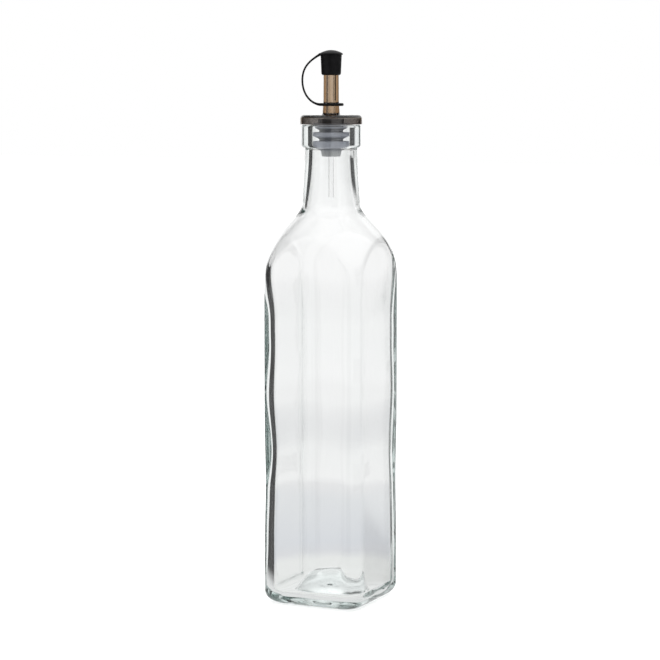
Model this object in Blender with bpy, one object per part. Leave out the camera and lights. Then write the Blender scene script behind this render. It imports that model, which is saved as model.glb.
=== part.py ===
"""An oil and vinegar cruet: a square clear-glass bottle with a push-in plastic pourer.

The bottle is a square prism under a round dome, with a round neck and a raised lip. The pourer is
a ribbed soft stopper, a smoke-tinted flange with its pouring spout, a thin air tube that runs from
the spout's tip down into the neck, and a black rubber cap. The cap, its strap and the strap's ring
are one moulding. The object stands on z = 0 with the bottle's axis on Z and its faces square to X
and Y. Sizes are in metres, written as millimetres times MM.
"""

import math

import bmesh
import bpy
from mathutils import Vector

MM = 0.001
GAP = 0.3 * MM  # clearance between pieces that touch

# Bottle, outside
SIDE = 57.0 * MM  # width across the flats
HALF = SIDE / 2
CORNER = 7.25 * MM  # radius of the four upright edges
HEEL = 7.0 * MM  # radius between the base and the walls
PUNT_RADIUS = 17.5 * MM  # hollow under the base
PUNT_RISE = 7.0 * MM
DOME_CENTRE_Z = 163.2 * MM  # the shoulder is a dome of revolution: an arc that starts here
DOME_WIDEST = 39.2 * MM
DOME_ARC = 54.7 * MM
DOME_SHARPNESS = 44.0  # how crisply the dome cuts the square walls
FILLET_SHARPNESS = 5.0  # how tightly the dome runs up into the neck
NECK_TOP_Z = 242.0 * MM
NECK_TOP_RADIUS = 13.7 * MM
NECK_FLARE = 0.057  # widening of the neck for each unit down
LIP_RADIUS = 15.75 * MM
LIP_UNDERSIDE_Z = 243.1 * MM
LIP_CORNER = 2.1 * MM  # radius under the lip
LIP_EDGE = 1.0 * MM  # radius at the lip's top
BOTTLE_HEIGHT = 255.2 * MM

# Bottle, inside
WALL = 3.0 * MM
INNER_HALF = HALF - WALL
INNER_CORNER = 8.25 * MM
BORE_RADIUS = 10.0 * MM
BORE_EDGE = 1.2 * MM
BORE_STRAIGHT_TO_Z = 243.0 * MM  # below this the bore opens out
BORE_OPENS_BY = 3.0 * MM
BORE_OPENS_OVER = 30.0 * MM
BORE_OPENS_LIMIT = 1.25
FLOOR_Z = 5.0 * MM
FLOOR_FILLET = 4.5 * MM
FLOOR_PUSH_UP = 11.0 * MM
FLOOR_PUSH_UP_RADIUS = 19.3 * MM

# How finely the bottle is divided
FLAT_SEGMENTS = 8
HALF_CORNER_SEGMENTS = 2
ROUNDING_FROM_Z = 160.0 * MM  # the ring's points even out between these heights
ROUNDING_TO_Z = 206.0 * MM

# Stopper: a turned soft plug with three fins, a collar above the lip, and an end wall
FINS = 3
FIN_PITCH = 4.7 * MM
FIN_RADIUS = BORE_RADIUS - GAP
FIN_ROOT = 3.4 * MM  # thickness at the core
FIN_SWEEP = 1.6 * MM  # how far the underside rises to the rim
FIN_EDGE = 2.0 * MM  # thickness at the rim
FIN_ROUNDING = 0.35 * MM
LOWEST_FIN_Z = 243.1 * MM
CORE_RADIUS = 6.3 * MM
STOPPER_CONE_RADIUS = 5.9 * MM  # the cone under the lowest fin, at its top and its end
STOPPER_END_RADIUS = 5.0 * MM
STOPPER_END_Z = 238.4 * MM
HEAD_RADIUS = 6.9 * MM
HEAD_Z = BOTTLE_HEIGHT + GAP
HEAD_TOP_Z = 258.5 * MM
END_WALL = 2.0 * MM
CHANNEL_RADIUS = 4.1 * MM  # the liquid's way through the stopper
POUR_HOLES = 3
POUR_HOLE_RADIUS = 0.85 * MM
POUR_HOLE_CIRCLE = 3.05 * MM

# Spout: the smoke-tinted flange, a hollow tray upside down, with the spout standing on it
FLANGE_RADIUS = 16.45 * MM
FLANGE_TOP_Z = 260.5 * MM
FLANGE_EDGE = 2.2 * MM
SKIRT_WALL = 1.5 * MM
DISC_UNDERSIDE_Z = HEAD_TOP_Z + GAP
STEM_RADIUS = CHANNEL_RADIUS - GAP
STEM_END_Z = 250.0 * MM
SPOUT_BORE = 1.9 * MM
SPOUT_FOOT_RADIUS = 4.5 * MM
SPOUT_RADIUS = 4.0 * MM
SPOUT_FOOT_Z = 262.0 * MM
SPOUT_SLIM_Z = 268.0 * MM
SPOUT_TIP_Z = 290.6 * MM

# Air tube
TUBE_RADIUS = 1.5 * MM
TUBE_WALL = 0.4 * MM
TUBE_TOP_Z = 289.8 * MM
TUBE_END_Z = 217.6 * MM

# Cap, strap and ring
CAP_MOUTH_RADIUS = 5.2 * MM
CAP_TOP_RADIUS = 5.6 * MM
CAP_BORE = SPOUT_RADIUS + GAP
CAP_MOUTH_Z = 281.3 * MM
CAP_MOUTH_ROUNDING = 1.1 * MM
CAP_RIM_RADIUS = 6.25 * MM
CAP_RIM_Z = 292.0 * MM
CAP_RIM_THICKNESS = 0.7 * MM
CAP_TOP_Z = 294.5 * MM
CAP_BORE_TOP_Z = SPOUT_TIP_Z + GAP
STRAP_WIDTH = 2.0 * MM
STRAP_THICKNESS = 1.0 * MM
STRAP_REACH = 15.2 * MM  # furthest from the axis
STRAP_REACH_Z = 278.6 * MM
STRAP_SEGMENTS = 24
RING_RADIUS = 6.6 * MM
RING_BORE = 4.1 * MM + GAP
RING_Z = 265.9 * MM
RING_THICKNESS = 1.5 * MM
RING_EDGE = 0.55 * MM
POURER_TURN = math.radians(24.9)  # the strap's direction, turned from -X about Z

TURNED_STEPS = 36
ARC_SEGMENTS = 4


def clear_scene() -> None:
    for obj in list(bpy.data.objects):
        bpy.data.objects.remove(obj)


def plastic(name, colour, roughness, transmission=0.0, ior=1.5):
    """A material with one Principled BSDF."""
    made = bpy.data.materials.new(name)
    made.use_nodes = True
    shader = made.node_tree.nodes["Principled BSDF"]
    shader.inputs["Base Color"].default_value = (*colour, 1.0)
    shader.inputs["Roughness"].default_value = roughness
    shader.inputs["Metallic"].default_value = 0.0
    shader.inputs["Transmission Weight"].default_value = transmission
    shader.inputs["IOR"].default_value = ior
    return made


def arc(centre, radius, start_deg, end_deg, segments=ARC_SEGMENTS):
    """Points (r, z) along an arc in the profile's plane, both ends included."""
    points = []
    for k in range(segments + 1):
        angle = math.radians(start_deg + (end_deg - start_deg) * k / segments)
        points.append((centre[0] + radius * math.cos(angle), centre[1] + radius * math.sin(angle)))
    return points


def link(name, mesh, material):
    """A new object from a mesh, shaded smooth with its hard edges kept."""
    mesh.materials.append(material)
    mesh.shade_smooth()
    mesh.set_sharp_from_angle(angle=math.radians(35))
    obj = bpy.data.objects.new(name, mesh)
    bpy.context.scene.collection.objects.link(obj)
    return obj


# Bottle


def soft_least(a, b, sharpness):
    """The lesser of two lengths, eased where they are nearly equal."""
    return (a**-sharpness + b**-sharpness) ** (-1 / sharpness)


def soft_most(a, b, sharpness):
    """The greater of two lengths, eased where they are nearly equal."""
    return (a**sharpness + b**sharpness) ** (1 / sharpness)


def square_reach(angle, half, corner):
    """How far a square with rounded corners reaches from its centre in a direction."""
    from_normal = abs((angle + math.pi / 4) % (math.pi / 2) - math.pi / 4)
    centre = half - corner
    if half * math.tan(from_normal) <= centre:
        return half / math.cos(from_normal)
    along = centre * (math.cos(from_normal) + math.sin(from_normal))
    across = centre * (math.cos(from_normal) - math.sin(from_normal))
    return along + math.sqrt(corner**2 - across**2)


def dome_radius(z, wall):
    """The shoulder dome's radius at a height, for a surface that lies wall inside the outer one."""
    rise = z - DOME_CENTRE_Z
    if rise <= 0:
        return DOME_WIDEST - wall - rise  # clear of the corners, so the walls stay square
    arc_radius = DOME_ARC - wall
    if rise >= arc_radius:
        return 1 * MM
    return max(DOME_WIDEST - DOME_ARC + math.sqrt(arc_radius**2 - rise**2), 1 * MM)


def outer_round(z):
    """Radius of the outside's round form: the dome below, the neck above."""
    neck = NECK_TOP_RADIUS + NECK_FLARE * (NECK_TOP_Z - z)
    return soft_most(dome_radius(z, 0.0), min(neck, 17 * MM), FILLET_SHARPNESS)


def inner_round(z):
    """Radius of the inside's round form: the dome below, the opening bore above."""
    opened = min(max(BORE_STRAIGHT_TO_Z - z, 0.0) / BORE_OPENS_OVER, BORE_OPENS_LIMIT)
    bore = BORE_RADIUS + BORE_OPENS_BY * opened**2
    return soft_most(dome_radius(z, WALL), bore, FILLET_SHARPNESS)


def ring_directions(z):
    """Directions of a ring's points: crowded at the corners on the body, even round the neck."""
    centre = HALF - CORNER
    one_face = []
    for k in range(HALF_CORNER_SEGMENTS):
        turn = math.pi / 4 * (1 - k / HALF_CORNER_SEGMENTS)
        x, y = centre + CORNER * math.cos(turn), centre + CORNER * math.sin(turn)
        one_face.append(-math.atan2(y, x))
    for k in range(FLAT_SEGMENTS + 1):
        one_face.append(math.atan2(centre * (2 * k / FLAT_SEGMENTS - 1), HALF))
    one_face += [-angle for angle in one_face[HALF_CORNER_SEGMENTS - 1 : 0 : -1]]
    count = len(one_face)
    share = min(max((z - ROUNDING_FROM_Z) / (ROUNDING_TO_Z - ROUNDING_FROM_Z), 0.0), 1.0)
    evenness = share * share * (3 - 2 * share)
    directions = []
    for face in range(4):
        for k, angle in enumerate(one_face):
            even = -math.pi / 4 + math.pi / 2 * k / count
            directions.append(face * math.pi / 2 + angle + (even - angle) * evenness)
    return directions


def square_ring(z, half, corner, round_radius=None):
    """A ring of the prism at a height, cut back to the round form where one is given."""
    ring = []
    for angle in ring_directions(z):
        reach = square_reach(angle, half, corner)
        if round_radius is not None:
            reach = soft_least(reach, round_radius, DOME_SHARPNESS)
        ring.append(Vector((reach * math.cos(angle), reach * math.sin(angle), z)))
    return ring


def round_ring(z, radius, direction_z=None):
    """A round ring, with its points in the directions of the ring at direction_z."""
    directions = ring_directions(z if direction_z is None else direction_z)
    return [Vector((radius * math.cos(a), radius * math.sin(a), z)) for a in directions]


def spaced(start, end, count):
    """count heights from start to end, both included."""
    return [start + (end - start) * k / (count - 1) for k in range(count)]


def outside_rings():
    """The outside from the hollow under the base to the lip's top edge."""
    rings = []
    for share in (0.4, 0.75, 0.95):
        rings.append(round_ring(PUNT_RISE * (1 - share**2), PUNT_RADIUS * share, 0.0))
    rings.append(round_ring(0.0, PUNT_RADIUS + 0.8 * MM, 0.0))
    for inset, z in arc((HEEL, HEEL), HEEL, -90, -180, 5):
        rings.append(square_ring(z, HALF - inset, CORNER))
    for z in spaced(60 * MM, 160 * MM, 3):
        rings.append(square_ring(z, HALF, CORNER, outer_round(z)))
    for z in spaced(168 * MM, 213 * MM, 16):
        rings.append(square_ring(z, HALF, CORNER, outer_round(z)))
    for z in spaced(219 * MM, NECK_TOP_Z, 4):
        rings.append(round_ring(z, outer_round(z)))
    lip_corner = (LIP_RADIUS - LIP_CORNER, LIP_UNDERSIDE_Z + LIP_CORNER)
    lip_edge = (LIP_RADIUS - LIP_EDGE, BOTTLE_HEIGHT - LIP_EDGE)
    for radius, z in arc(lip_corner, LIP_CORNER, -80, 0) + arc(lip_edge, LIP_EDGE, 0, 90, 3):
        rings.append(round_ring(z, radius))
    return rings


def inside_rings():
    """The inside from the bore's top edge down to the floor's push-up."""
    rings = []
    bore_edge = (BORE_RADIUS + BORE_EDGE, BOTTLE_HEIGHT - BORE_EDGE)
    for radius, z in arc(bore_edge, BORE_EDGE, 90, 180, 3):
        rings.append(round_ring(z, radius))
    for z in spaced(BORE_STRAIGHT_TO_Z, 218 * MM, 5):
        rings.append(round_ring(z, inner_round(z)))
    for z in spaced(213 * MM, 168 * MM, 14):
        rings.append(square_ring(z, INNER_HALF, INNER_CORNER, inner_round(z)))
    for z in spaced(150 * MM, 60 * MM, 2):
        rings.append(square_ring(z, INNER_HALF, INNER_CORNER, inner_round(z)))
    for inset, z in arc((FLOOR_FILLET, FLOOR_Z + FLOOR_FILLET), FLOOR_FILLET, 180, 270, 4):
        rings.append(square_ring(z, INNER_HALF - inset, INNER_CORNER))
    for share in (0.97, 0.87, 0.75, 0.55, 0.3):
        rise = FLOOR_PUSH_UP * (1 - share**4) ** 1.5
        rings.append(round_ring(FLOOR_Z + rise, FLOOR_PUSH_UP_RADIUS * share, 0.0))
    return rings


def bottle(material):
    """The glass: one closed surface from the hollow under the base, over the lip, to the floor."""
    mesh = bpy.data.meshes.new("bottle")
    bm = bmesh.new()
    first = bm.verts.new((0, 0, PUNT_RISE))
    rings = [[bm.verts.new(point) for point in ring] for ring in outside_rings() + inside_rings()]
    last = bm.verts.new((0, 0, FLOOR_Z + FLOOR_PUSH_UP))
    count = len(rings[0])
    for k in range(count):
        after = (k + 1) % count
        bm.faces.new((first, rings[0][after], rings[0][k]))
        bm.faces.new((last, rings[-1][k], rings[-1][after]))
        for below, above in zip(rings, rings[1:]):
            bm.faces.new((below[k], below[after], above[after], above[k]))
    bmesh.ops.recalc_face_normals(bm, faces=bm.faces)
    bm.to_mesh(mesh)
    bm.free()
    return link("bottle", mesh, material)


# Turned pieces


def turned(name, profile, material, steps=TURNED_STEPS):
    """A closed profile of (r, z) points turned about Z. Points on the axis close the ends."""
    mesh = bpy.data.meshes.new(name)
    bm = bmesh.new()
    points = [bm.verts.new((radius, 0, z)) for radius, z in profile]
    edges = [bm.edges.new(pair) for pair in zip(points, points[1:])]
    on_axis = profile[0][0] == 0 and profile[-1][0] == 0
    if not on_axis:
        edges.append(bm.edges.new((points[-1], points[0])))
    bmesh.ops.spin(
        bm,
        geom=points + edges,
        axis=(0, 0, 1),
        cent=(0, 0, 0),
        angle=2 * math.pi,
        steps=steps,
        use_duplicate=False,
    )
    bmesh.ops.remove_doubles(bm, verts=bm.verts, dist=0.001 * MM)
    bmesh.ops.recalc_face_normals(bm, faces=bm.faces)
    bm.to_mesh(mesh)
    bm.free()
    return link(name, mesh, material)


def fin_profile(lower_z):
    """One fin's outline: an underside that rises to a rounded rim, and a nearly level top."""
    lower_rim_z = lower_z + FIN_SWEEP
    upper_rim_z = lower_rim_z + FIN_EDGE
    inset = FIN_RADIUS - FIN_ROUNDING
    return [
        (CORE_RADIUS, lower_z),
        (inset, lower_rim_z),
        (FIN_RADIUS, lower_rim_z + FIN_ROUNDING),
        (FIN_RADIUS, upper_rim_z - FIN_ROUNDING),
        (inset, upper_rim_z),
        (CORE_RADIUS, lower_z + FIN_ROOT),
    ]


def stopper(material):
    """The finned plug, hollow for the liquid, with holes for it round the tube's in its end wall."""
    inner_floor_z = STOPPER_END_Z + END_WALL
    tube_hole = TUBE_RADIUS + GAP
    profile = [(tube_hole, STOPPER_END_Z), (STOPPER_END_RADIUS - 0.4 * MM, STOPPER_END_Z)]
    profile.append((STOPPER_END_RADIUS, STOPPER_END_Z + 0.4 * MM))
    profile.append((STOPPER_CONE_RADIUS, LOWEST_FIN_Z))
    for k in range(FINS):
        profile += fin_profile(LOWEST_FIN_Z + k * FIN_PITCH)
    profile = profile[:-3]  # the top fin's rim runs up into the head
    profile += [
        (FIN_RADIUS, HEAD_Z),
        (HEAD_RADIUS, HEAD_Z),
        (HEAD_RADIUS, HEAD_TOP_Z - 0.4 * MM),
        (HEAD_RADIUS - 0.4 * MM, HEAD_TOP_Z),
        (CHANNEL_RADIUS, HEAD_TOP_Z),
        (CHANNEL_RADIUS, inner_floor_z),
        (tube_hole, inner_floor_z),
    ]
    body = turned("stopper", profile, material)
    for k in range(POUR_HOLES):
        angle = math.radians(30) + 2 * math.pi * k / POUR_HOLES
        add_hole(body, POUR_HOLE_CIRCLE, angle, STOPPER_END_Z + END_WALL / 2)
    body.rotation_euler.z = POURER_TURN
    return body


def add_hole(body, circle, angle, z):
    """Cuts one upright pour hole through the stopper's end wall."""
    bpy.ops.mesh.primitive_cylinder_add(
        vertices=12,
        radius=POUR_HOLE_RADIUS,
        depth=2 * END_WALL,
        location=(circle * math.cos(angle), circle * math.sin(angle), z),
    )
    cutter = bpy.context.object
    cutter.name = "pour_hole_cutter"
    cutter.parent = body
    cutter.hide_render = True
    cutter.display_type = "WIRE"
    cut = body.modifiers.new("pour hole", "BOOLEAN")
    cut.operation = "DIFFERENCE"
    cut.solver = "EXACT"
    cut.object = cutter


def spout(material):
    """The smoke-tinted moulding: stem, hollow flange and pouring spout, bored through."""
    skirt_inner = FLANGE_RADIUS - SKIRT_WALL
    skirt_z = BOTTLE_HEIGHT + GAP
    flange_edge = (FLANGE_RADIUS - FLANGE_EDGE, FLANGE_TOP_Z - FLANGE_EDGE)
    foot_fillet = 0.9 * MM
    foot = (SPOUT_FOOT_RADIUS + foot_fillet, FLANGE_TOP_Z + foot_fillet)
    profile = [
        (SPOUT_BORE, STEM_END_Z),
        (STEM_RADIUS, STEM_END_Z),
        (STEM_RADIUS, DISC_UNDERSIDE_Z),
        (skirt_inner, DISC_UNDERSIDE_Z),
        (skirt_inner, skirt_z),
        (FLANGE_RADIUS, skirt_z),
    ]
    profile += arc(flange_edge, FLANGE_EDGE, 0, 90)
    profile += arc(foot, foot_fillet, 270, 180, 3)
    profile += [
        (SPOUT_FOOT_RADIUS, SPOUT_FOOT_Z),
        (SPOUT_RADIUS + 0.1 * MM, SPOUT_SLIM_Z),
        (SPOUT_RADIUS, SPOUT_TIP_Z - 0.3 * MM),
        (SPOUT_RADIUS - 0.3 * MM, SPOUT_TIP_Z),
        (SPOUT_BORE, SPOUT_TIP_Z),
    ]
    return turned("spout", profile, material)


def air_tube(material):
    """The thin straight tube, open at both ends."""
    inner = TUBE_RADIUS - TUBE_WALL
    profile = [
        (inner, TUBE_END_Z),
        (TUBE_RADIUS, TUBE_END_Z),
        (TUBE_RADIUS, TUBE_TOP_Z),
        (inner, TUBE_TOP_Z),
    ]
    return turned("air_tube", profile, material, steps=20)


def cap_sleeve(material):
    """The cap's round part: a sleeve over the spout under a thin domed disc."""
    dome_rise = CAP_TOP_Z - CAP_RIM_Z - CAP_RIM_THICKNESS
    profile = [(0, CAP_BORE_TOP_Z), (CAP_BORE, CAP_BORE_TOP_Z), (CAP_BORE, CAP_MOUTH_Z)]
    rounding = (CAP_MOUTH_RADIUS - CAP_MOUTH_ROUNDING, CAP_MOUTH_Z + CAP_MOUTH_ROUNDING)
    profile += [point for point in arc(rounding, CAP_MOUTH_ROUNDING, -75, 0, 3)]
    profile += [(CAP_TOP_RADIUS, CAP_RIM_Z - 0.1 * MM), (CAP_RIM_RADIUS, CAP_RIM_Z)]
    profile.append((CAP_RIM_RADIUS, CAP_RIM_Z + CAP_RIM_THICKNESS))
    for share in (0.85, 0.65, 0.4, 0.2):
        rise = dome_rise * (1 - share**2)
        profile.append((CAP_RIM_RADIUS * share, CAP_RIM_Z + CAP_RIM_THICKNESS + rise))
    profile.append((0, CAP_TOP_Z))
    return turned("cap", profile, material, steps=32)


def strap_route():
    """The strap's middle line in the XZ plane, from inside the cap's disc to inside the ring."""
    leaves = Vector((-CAP_RIM_RADIUS + 0.6 * MM, 0, CAP_RIM_Z + 0.35 * MM))
    furthest = Vector((-STRAP_REACH, 0, STRAP_REACH_Z))
    arrives = Vector((-RING_RADIUS + 0.6 * MM, 0, RING_Z))
    slope = Vector((-math.cos(math.radians(31)), 0, -math.sin(math.radians(31))))
    upper = (leaves, leaves + slope * 6.6 * MM, furthest + Vector((0, 0, 7.2 * MM)), furthest)
    lower = (
        furthest,
        furthest - Vector((0, 0, 6.9 * MM)),
        arrives + Vector((-5.2 * MM, 0, 0.6 * MM)),
        arrives,
    )
    half = STRAP_SEGMENTS // 2
    points = [bezier(upper, k / half) for k in range(half)]
    return points + [bezier(lower, k / half) for k in range(half + 1)]


def bezier(handles, share):
    """The point at a share of the way along one cubic stretch."""
    a, b, c, d = handles
    rest = 1 - share
    return a * rest**3 + b * 3 * rest**2 * share + c * 3 * rest * share**2 + d * share**3


def strap(material):
    """The strap: a flat ribbon with eased edges that follows its route."""
    route = strap_route()
    across, through = STRAP_WIDTH / 2, STRAP_THICKNESS / 2
    ease = 0.25 * MM
    section = [(across - ease, through), (across, through - ease)]
    section += [(x, -y) for x, y in reversed(section)]
    section += [(-x, y) for x, y in reversed(section)]
    mesh = bpy.data.meshes.new("strap")
    bm = bmesh.new()
    rings = []
    for k, point in enumerate(route):
        along = (route[min(k + 1, len(route) - 1)] - route[max(k - 1, 0)]).normalized()
        outward = along.cross(Vector((0, 1, 0)))
        rings.append([bm.verts.new(point + Vector((0, x, 0)) + outward * y) for x, y in section])
    for here, there in zip(rings, rings[1:]):
        for k in range(len(section)):
            after = (k + 1) % len(section)
            bm.faces.new((here[k], here[after], there[after], there[k]))
    bm.faces.new(rings[0])
    bm.faces.new(rings[-1])
    bmesh.ops.recalc_face_normals(bm, faces=bm.faces)
    bm.to_mesh(mesh)
    bm.free()
    return link("strap", mesh, material)


def strap_ring(material):
    """The ring at the strap's end, loose round the spout's foot."""
    low, high = RING_Z - RING_THICKNESS / 2, RING_Z + RING_THICKNESS / 2
    profile = [
        (RING_BORE, low),
        (RING_RADIUS - RING_EDGE, low),
        (RING_RADIUS, low + RING_EDGE),
        (RING_RADIUS, high - RING_EDGE),
        (RING_RADIUS - RING_EDGE, high),
        (RING_BORE, high),
    ]
    return turned("strap_ring", profile, material, steps=32)


def cap(material):
    """Cap, strap and ring joined into the one moulding that they are."""
    body = cap_sleeve(material)
    others = bpy.data.collections.new("cap_joins")
    bpy.context.scene.collection.children.link(others)
    for piece in (strap(material), strap_ring(material)):
        bpy.context.scene.collection.objects.unlink(piece)
        others.objects.link(piece)
    join = body.modifiers.new("join", "BOOLEAN")
    join.operation = "UNION"
    join.operand_type = "COLLECTION"
    join.collection = others
    join.solver = "EXACT"
    bpy.context.view_layer.update()
    joined = bpy.data.meshes.new_from_object(body.evaluated_get(bpy.context.evaluated_depsgraph_get()))
    body.modifiers.remove(join)
    body.data = joined
    for piece in list(others.objects):
        bpy.data.objects.remove(piece)
    bpy.data.collections.remove(others)
    body.rotation_euler.z = POURER_TURN
    return body


def main():
    clear_scene()
    bottle(plastic("clear_glass", (0.97, 0.98, 0.98), 0.0, transmission=1.0, ior=1.52))
    stopper(plastic("frosted_plastic", (0.56, 0.57, 0.59), 0.35, transmission=0.4))
    spout(plastic("smoked_plastic", (0.42, 0.34, 0.27), 0.08, transmission=0.95))
    air_tube(plastic("clear_plastic", (0.93, 0.94, 0.94), 0.15, transmission=0.9))
    cap(plastic("black_rubber", (0.012, 0.012, 0.013), 0.45))


if __name__ == "__main__":
    main()
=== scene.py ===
"""The looks of an empty oil and vinegar cruet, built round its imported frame.

A square bottle of clear glass holds a push-in pourer: a finned soft stopper, a smoke-tinted spout on
a flange, a thin air tube and a black rubber cap on a strap. Every skin is lofted by Geometry Nodes
from a run of stations, so the glass has two true faces and the light bends through it as it does
through the real one. Lengths are in metres, written as millimetres times MM.
"""

import logging
import math
from dataclasses import astuple, dataclass, field
from enum import Enum
from typing import Iterable, Sequence, Union

import bmesh
import bpy
from mathutils import Matrix, Vector

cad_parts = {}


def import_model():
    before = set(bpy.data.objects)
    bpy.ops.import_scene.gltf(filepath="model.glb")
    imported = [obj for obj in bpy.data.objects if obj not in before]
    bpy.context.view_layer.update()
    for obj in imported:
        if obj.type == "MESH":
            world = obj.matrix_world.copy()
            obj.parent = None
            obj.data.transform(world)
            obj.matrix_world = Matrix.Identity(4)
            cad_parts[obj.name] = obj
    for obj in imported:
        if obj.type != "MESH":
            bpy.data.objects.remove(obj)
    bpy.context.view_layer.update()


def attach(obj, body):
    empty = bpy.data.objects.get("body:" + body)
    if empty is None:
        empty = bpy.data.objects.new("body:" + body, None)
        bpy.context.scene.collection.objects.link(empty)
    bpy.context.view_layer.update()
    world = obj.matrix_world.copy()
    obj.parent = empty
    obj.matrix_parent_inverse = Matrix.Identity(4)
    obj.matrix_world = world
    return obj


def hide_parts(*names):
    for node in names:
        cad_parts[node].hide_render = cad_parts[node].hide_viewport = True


MM = 0.001
BODY = "root"
LOG = logging.getLogger("cruet")
SHARP_EDGE = math.radians(38)
WHITE = (1.0, 1.0, 1.0)
FLOATS = {"data_type": "FLOAT"}

Colour = tuple[float, float, float]
Point = tuple[float, float]


# Node trees written as expressions


class Term:
    """A number socket that Python's operators and the functions below work on."""

    def __init__(self, graph: "Graph", socket: bpy.types.NodeSocket) -> None:
        """Wraps one output socket of a graph's node."""
        self.graph = graph
        self.socket = socket

    def __add__(self, other: "Number") -> "Term":
        """self + other."""
        return self.graph.math("ADD", self, other)

    def __sub__(self, other: "Number") -> "Term":
        """self - other."""
        return self.graph.math("SUBTRACT", self, other)

    def __rsub__(self, other: "Number") -> "Term":
        """other - self."""
        return self.graph.math("SUBTRACT", other, self)

    def __mul__(self, other: "Number") -> "Term":
        """self * other."""
        return self.graph.math("MULTIPLY", self, other)

    def __truediv__(self, other: "Number") -> "Term":
        """self / other."""
        return self.graph.math("DIVIDE", self, other)

    def __rtruediv__(self, other: "Number") -> "Term":
        """other / self."""
        return self.graph.math("DIVIDE", other, self)

    def __pow__(self, other: "Number") -> "Term":
        """self ** other."""
        return self.graph.math("POWER", self, other)

    __radd__ = __add__
    __rmul__ = __mul__


Number = Union[Term, bpy.types.NodeSocket, float]
Feed = Union[Number, Colour, bpy.types.Material, bpy.types.Object, str, bool]


class Graph:
    """A node tree under construction, for a surface, the world or Geometry Nodes alike."""

    def __init__(self, tree: bpy.types.NodeTree) -> None:
        """Takes over a tree and empties it."""
        self.tree = tree
        tree.nodes.clear()

    def node(self, kind: str, settings: dict | None = None, sockets: dict | None = None) -> bpy.types.Node:
        """Adds one node, settings first.

        Args:
            kind: The node's type name.
            settings: Properties of the node; "stops" fills a colour ramp with (place, colour) pairs.
            sockets: Values or links by socket name or index.

        Returns:
            The new node.
        """
        made = self.tree.nodes.new(kind)
        for name, value in (settings or {}).items():
            if name == "stops":
                self._set_stops(made.color_ramp, value)
            else:
                setattr(made, name, value)
        for key, value in (sockets or {}).items():
            self.feed(self.socket(made.inputs, key), value)
        return made

    @staticmethod
    def _set_stops(ramp: bpy.types.ColorRamp, stops: Sequence[tuple[float, Colour]]) -> None:
        """Gives a colour ramp its stops, in order."""
        while len(ramp.elements) < len(stops):
            ramp.elements.new(1.0)
        for element, (place, colour) in zip(ramp.elements, stops):
            element.position = place
            element.color = (*colour, 1.0)

    @staticmethod
    def socket(sockets: bpy.types.NodeInputs, key: Union[int, str]) -> bpy.types.NodeSocket:
        """The socket at an index, or the one in use that has a name."""
        if isinstance(key, int):
            return sockets[key]
        return next(socket for socket in sockets if socket.name == key and socket.enabled)

    def feed(self, socket: bpy.types.NodeSocket, value: Feed) -> None:
        """Links a term or a socket to an input, or sets its plain value."""
        if isinstance(value, Term):
            value = value.socket
        if isinstance(value, bpy.types.NodeSocket):
            self.tree.links.new(value, socket)
        elif isinstance(value, tuple) and socket.type == "RGBA":
            socket.default_value = (*value, 1.0)
        else:
            socket.default_value = value

    def term(
        self, kind: str, settings: dict | None = None, sockets: dict | None = None, out: Union[int, str] = 0
    ) -> Term:
        """Adds a node and wraps one of its outputs as a number."""
        return Term(self, self.socket(self.node(kind, settings, sockets).outputs, out))

    def out(self, kind: str, sockets: dict | None = None, settings: dict | None = None) -> bpy.types.NodeSocket:
        """Adds a node and gives its first output."""
        return self.node(kind, settings, sockets).outputs[0]

    def math(self, operation: str, *terms: Number) -> Term:
        """One Math node."""
        return self.term("ShaderNodeMath", {"operation": operation}, dict(enumerate(terms)))

    def length(self, x: Term, y: Term) -> Term:
        """How long a flat vector is."""
        return self.math("SQRT", x * x + y * y)

    def smooth(self, value: Number, start: float, end: float) -> Term:
        """0 before start, 1 after end, eased between them."""
        ends = {"From Min": start, "From Max": end, "To Min": 0.0, "To Max": 1.0}
        return self.term("ShaderNodeMapRange", {"interpolation_type": "SMOOTHSTEP"}, {"Value": value, **ends})

    def blend(self, share: Number, first: Feed, second: Feed) -> bpy.types.NodeSocket:
        """A colour that goes from the first to the second with the share."""
        sockets = {"Factor": share, "A": first, "B": second}
        made = self.node("ShaderNodeMix", {"data_type": "RGBA"}, sockets)
        return self.socket(made.outputs, "Result")

    def scaled(self, colour: Feed, factor: Number) -> bpy.types.NodeSocket:
        """A colour times a number."""
        sockets = {"Vector": colour, "Scale": factor}
        made = self.node("ShaderNodeVectorMath", {"operation": "SCALE"}, sockets)
        return self.socket(made.outputs, "Vector")

    def noise(self, place: bpy.types.NodeSocket, size: float, detail: float = 2.0) -> Term:
        """Soft noise from 0 to 1 whose lumps are about as wide as size."""
        sockets = {"Vector": place, "Scale": 1.0 / size, "Detail": detail}
        return self.term("ShaderNodeTexNoise", None, sockets)

    def split(self, vector: bpy.types.NodeSocket) -> tuple[Term, Term, Term]:
        """The x, y and z of a vector."""
        made = self.node("ShaderNodeSeparateXYZ", None, {0: vector})
        return tuple(Term(self, socket) for socket in made.outputs)

    def joined(self, x: Number, y: Number, z: Number) -> bpy.types.NodeSocket:
        """A vector from its x, y and z."""
        return self.out("ShaderNodeCombineXYZ", {0: x, 1: y, 2: z})


# Skins made by Geometry Nodes


@dataclass(frozen=True)
class Station:
    """One ring of a skin.

    Attributes:
        height: Its height.
        reach: Radius of the round form that it follows.
        half: Half the width of the square that the round form cuts; 0 where the ring is only round.
        corner: Radius of the square's corners.
        extra: How much rounder the corner at +X +Y is, for moulded glass isn't even.
        ripple: How far the ring wanders in and out, as moulded glass does.
    """

    height: float
    reach: float
    half: float = 0.0
    corner: float = 0.0
    extra: float = 0.0
    ripple: float = 0.0


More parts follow.
